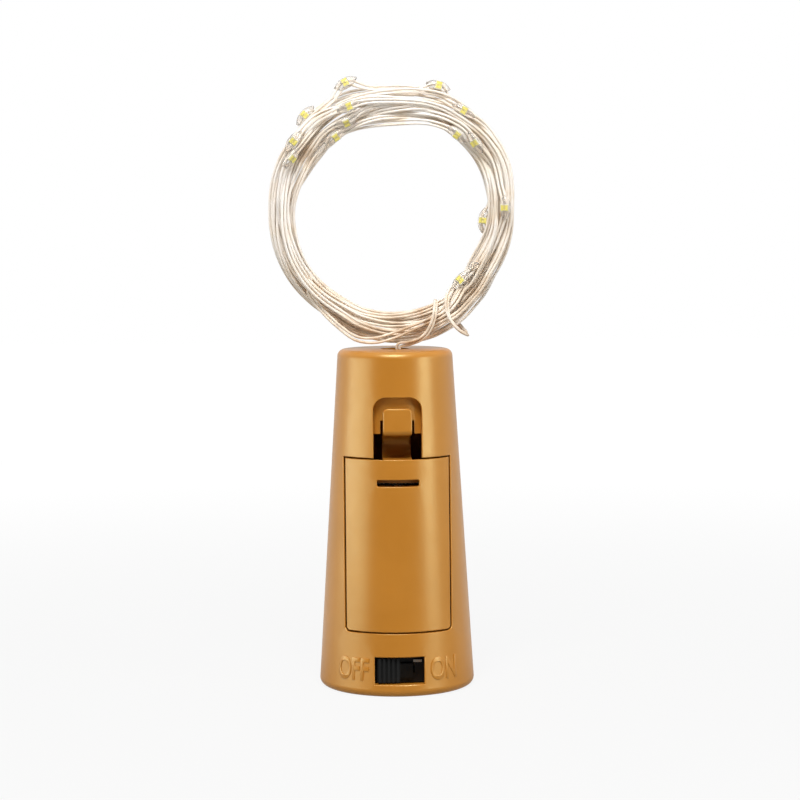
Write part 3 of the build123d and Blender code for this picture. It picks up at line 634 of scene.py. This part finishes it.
def silverWire():
    # silver-plated copper under clear enamel: bright and milky, with random browner patches, and browner and
    # darker low on the ring as painted shade and painted reflection of the body below
    material, tree, surface, where = newFinish("silveredWire", {"Metallic": 0.15})
    # painted shade and reflection: the wire turns browner and darker towards the bottom of the ring
    level = addNode(tree, "ShaderNodeSeparateXYZ", {"Vector": where}).outputs["Z"]
    near = {"Value": level, "From Min": 0.048, "From Max": 0.062, "To Min": -0.17, "To Max": 0.0}
    near = addNode(tree, "ShaderNodeMapRange", near, interpolation_type="SMOOTHSTEP").outputs["Result"]
    patches = noise(tree, where, 4.5, 3.0)
    patches_and_shade = addNode(tree, "ShaderNodeMath", {0: patches, 1: near}, operation="ADD").outputs[0]
    tone = ramp(tree, patches_and_shade, [(0.16, "#b8946c"), (0.38, "#f2e3cf"), (0.5, "#f8eee1"), (0.78, "#faf5ef")])
    tree.links.new(tone, surface.inputs["Base Color"])
    gloss = ramp(tree, noise(tree, where, 1.2, 2.0), [(0.3, 0.42), (0.7, 0.56)])
    tree.links.new(gloss, surface.inputs["Roughness"])
    return material


def clearResin():
    # UV-cured epoxy drop: clear with a faint milky haze, glossy skin
    sockets = {"IOR": 1.42, "Roughness": 0.15, "Transmission Weight": 0.84}
    material, tree, surface, where = newFinish("epoxyDrop", sockets)
    tone = ramp(tree, noise(tree, where, 1.0, 2.0), [(0.3, "#f8f3ec"), (0.7, "#fffcf8")])
    tree.links.new(tone, surface.inputs["Base Color"])
    grain(tree, surface, noise(tree, where, 0.8, 1.0), 0.03, 0.5)
    return material


def glue():
    # hot-melt glue: waxy, milky, lets some light in
    sockets = {"IOR": 1.48, "Roughness": 0.35, "Subsurface Weight": 0.4, "Subsurface Scale": 0.001}
    material, tree, surface, where = newFinish("hotMeltGlue", sockets)
    tone = ramp(tree, noise(tree, where, 1.6, 2.0), [(0.3, "#d9cfb8"), (0.7, "#ece4d2")])
    tree.links.new(tone, surface.inputs["Base Color"])
    grain(tree, surface, noise(tree, where, 1.2, 2.0), 0.08, 0.7)
    return material


def phosphor():
    # silicone with yellow phosphor, as it looks with the lamp off
    material, tree, surface, where = newFinish("phosphorFace", {"IOR": 1.45, "Roughness": 0.4})
    tone = ramp(tree, noise(tree, where, 0.25, 2.0), [(0.3, "#e4d45a"), (0.7, "#f2e680")])
    tree.links.new(tone, surface.inputs["Base Color"])
    return material


finishes = {
    "cork_plastic": corkPlastic("absCorkTone", "#bc7926", "#b67422"),
    # the cradle is a darker brown than the shell: painted shade for the inside seen through the opening
    # under the latch tab
    "cradle_plastic": corkPlastic("absCradleShade", "#8a5520", "#7c4b1b"),
    "black_plastic": blackPlastic(),
    "blackened_steel": blackSteel(),
    "plated_steel": metal("steelNickelPlated", "#d6d3cb", "#bdb9b0", 0.25, 1.5, 0.004),
    "can_steel": metal("steelDrawnCan", "#d2d1cd", "#c0bfba", 0.22, 2.5, 0.004),
    "seal_nylon": soft("nylonSeal", "#2f4a3d", "#263d33", 0.5, 0.8),
    "terminal_brass": metal("brassTinned", "#cbb98a", "#b49c62", 0.3, 0.8, 0.004),
    "lead_vinyl_red": soft("vinylRed", "#b3261f", "#9c1f19", 0.42, 1.5),
    "lead_vinyl_black": soft("vinylBlack", "#1c1b1a", "#141413", 0.42, 1.5),
    "resistor_enamel": soft("resistorLacquer", "#cfae7c", "#bf9d6a", 0.25, 0.9),
    "hot_melt_glue": glue(),
    "string_wire": silverWire(),
    "lamp_resin": clearResin(),
    "lamp_chip": soft("ceramicPackage", "#f2efe6", "#e2ddd0", 0.35, 0.4),
}

for node in nodes.values():
    for holder in node.material_slots:
        holder.material = finishes[holder.material.name]
twin.data.materials.append(finishes["string_wire"])
print("finishes set,", len(finishes))


drops, chips = placeLamps()
print("lamps set,", len(string["lamps"]))


# Raised words beside the window, in the body's own plastic
words = {
    "size": 4.2,
    "narrow": 0.69,          # letters pressed together by this share
    "bolder": 0.08,
    "level": 2.3,            # of the letters' foot
    "proud": 0.05,
    "sunk": 0.1,
    "edge": 0.03,
    "shown": {"OFF": (-6.55, "raised_off"), "ON": (6.35, "raised_on")},
    "base": 10.85,           # radius of the body at its wide end
    "taper": 2.9 / 47,       # and how fast it narrows
}


def raisedWord(text, middle, name):
    deselect()
    bpy.ops.object.text_add()
    piece = startPiece(name)
    piece.data.body = text
    piece.data.align_x = "CENTER"
    piece.data.size = words["size"]
    piece.data.extrude = (words["proud"] + words["sunk"]) / 2
    piece.data.offset = words["bolder"]
    piece.data.bevel_depth = words["edge"]
    piece.data.bevel_resolution = 1
    bpy.ops.object.convert(target="MESH")
    piece = bpy.context.object
    bpy.ops.object.mode_set(mode="EDIT")
    bpy.ops.mesh.select_all(action="SELECT")
    bpy.ops.mesh.remove_doubles(threshold=0.001)
    bpy.ops.object.mode_set(mode="OBJECT")
    bpy.ops.object.shade_smooth_by_angle(angle=math.radians(25))
    tilt = math.asin(middle / words["base"])
    for v in piece.data.vertices:
        level = words["level"] + v.co.y
        radius = words["base"] - words["taper"] * level
        turned = tilt + v.co.x * words["narrow"] / radius
        out = radius + (words["proud"] - words["sunk"]) / 2 + v.co.z
        v.co = Vector((out * math.sin(turned), -out * math.cos(turned), level)) * mm
    piece.data.materials.append(finishes["cork_plastic"])
    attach(piece, "body")
    deselect()


for text, (middle, name) in words["shown"].items():
    raisedWord(text, middle, name)
print("words raised")


# What rides and what it stands for
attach(twin, "body")
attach(drops, "body")
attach(chips, "body")
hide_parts("wire_coil", "wire_lead")
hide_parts("led_beads")
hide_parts("led_chips")


# Pale floor and sweep, a dim room in front, and soft boxes whose bands run down the body
studio = {
    "floor": 1.6,
    "world": 0.25,
    "dim": 0.04,             # the room on the camera's side, against the pale sweep behind
    "paper": "#a8a8a6",
    "contact": 0.12,         # how much of the floor near the object is lit paper
    "fade": (0.04, 0.3),     # from where to where that runs out
    "horizon": 0.04,         # half depth in which the floor goes from dim to pale, for a gloss
    "white": 1.015,
    "boxes": [
        # place, aim, width, height, watts
        ((-0.48, -0.12, 0.03), (0, 0, 0.03), 0.46, 0.06, 0.8),
        ((0.42, -0.27, 0.09), (0, 0, 0.04), 0.18, 0.22, 0.95),
        ((-0.03, -0.35, 0.56), (0, 0, 0.04), 0.30, 0.30, 4.4),
    ],
}


def highest(tree, one, other):
    node = addNode(tree, "ShaderNodeMath", {0: one, 1: other}, operation="MAXIMUM")
    return node.outputs[0]


def addFloor():
    deselect()
    bpy.ops.mesh.primitive_grid_add(x_subdivisions=4, y_subdivisions=4, size=studio["floor"])
    floor = startPiece("floor")
    floor.data.transform(Matrix.Translation((0, 0, cadBox[0][2])))
    material = bpy.data.materials.new("paperFloor")
    material.use_nodes = True
    tree = material.node_tree
    surface = tree.nodes["Principled BSDF"]
    surface.inputs["Base Color"].default_value = linear(studio["paper"])
    surface.inputs["Roughness"].default_value = 0.9
    surface.inputs["Specular IOR Level"].default_value = 0.2
    rays = addNode(tree, "ShaderNodeLightPath").outputs
    seen = highest(tree, rays["Is Camera Ray"], rays["Is Glossy Ray"])
    seen = highest(tree, seen, rays["Is Transmission Ray"])
    where = addNode(tree, "ShaderNodeTexCoord").outputs["Object"]
    depth = addNode(tree, "ShaderNodeSeparateXYZ", {"Vector": where}).outputs["Y"]
    reach = {"From Min": -studio["horizon"], "From Max": studio["horizon"]}
    sweep = {"Value": depth, **reach, "To Min": studio["dim"] - 1, "To Max": 0.0}
    dark = addNode(tree, "ShaderNodeMapRange", sweep, interpolation_type="SMOOTHSTEP").outputs["Result"]
    white = {0: dark, 1: rays["Is Glossy Ray"], 2: studio["white"]}
    white = addNode(tree, "ShaderNodeMath", white, operation="MULTIPLY_ADD").outputs[0]
    glow = addNode(tree, "ShaderNodeEmission", {"Color": (1, 1, 1, 1), "Strength": white})
    away = addNode(tree, "ShaderNodeVectorMath", {0: where}, operation="LENGTH").outputs["Value"]
    near, far = studio["fade"]
    fade = {"Value": away, "From Min": near, "From Max": far, "To Min": 1 - studio["contact"], "To Max": 1.0}
    share = addNode(tree, "ShaderNodeMapRange", fade, interpolation_type="SMOOTHSTEP").outputs["Result"]
    share = addNode(tree, "ShaderNodeMath", {0: seen, 1: share}, operation="MULTIPLY").outputs[0]
    blend = addNode(tree, "ShaderNodeMixShader", {0: share, 1: surface.outputs[0], 2: glow.outputs[0]})
    tree.links.new(blend.outputs[0], tree.nodes["Material Output"].inputs["Surface"])
    floor.data.materials.append(material)
    deselect()


def addLight():
    for i, (place, aim, width, height, watts) in enumerate(studio["boxes"]):
        data = bpy.data.lights.new(f"softBox{i}", "AREA")
        data.shape = "RECTANGLE"
        data.size, data.size_y = width, height
        data.energy = watts
        box = bpy.data.objects.new(f"softBox{i}", data)
        box.location = place
        box.rotation_euler = (Vector(aim) - Vector(place)).to_track_quat("-Z", "Y").to_euler()
        bpy.context.collection.objects.link(box)


def addRoom():
    world = bpy.data.worlds.new("studio")
    bpy.context.scene.world = world
    world.use_nodes = True
    tree = world.node_tree
    rays = addNode(tree, "ShaderNodeLightPath").outputs
    way = addNode(tree, "ShaderNodeTexCoord").outputs["Generated"]
    depth = addNode(tree, "ShaderNodeSeparateXYZ", {"Vector": way}).outputs["Y"]
    sweep = {"Value": depth, "From Min": -0.8, "From Max": 0.1, "To Min": studio["dim"], "To Max": 1.0}
    bright = addNode(tree, "ShaderNodeMapRange", sweep, interpolation_type="SMOOTHSTEP").outputs["Result"]
    soft = addNode(tree, "ShaderNodeMath", {0: bright, 1: studio["world"]}, operation="MULTIPLY").outputs[0]
    fill = addNode(tree, "ShaderNodeBackground", {"Color": (1, 1, 1, 1), "Strength": soft})
    shine = addNode(tree, "ShaderNodeBackground", {"Color": (1, 1, 1, 1), "Strength": bright})
    white = tree.nodes["Background"]
    white.inputs["Color"].default_value = (1, 1, 1, 1)
    white.inputs["Strength"].default_value = 1
    clear = highest(tree, rays["Is Camera Ray"], rays["Is Transmission Ray"])
    lit = {0: rays["Is Glossy Ray"], 1: fill.outputs[0], 2: shine.outputs[0]}
    lit = addNode(tree, "ShaderNodeMixShader", lit)
    blend = addNode(tree, "ShaderNodeMixShader", {0: clear, 1: lit.outputs[0], 2: white.outputs[0]})
    tree.links.new(blend.outputs[0], tree.nodes["World Output"].inputs["Surface"])


addFloor()
addLight()
addRoom()
bpy.context.scene.view_settings.view_transform = "Standard"
print("studio lit")
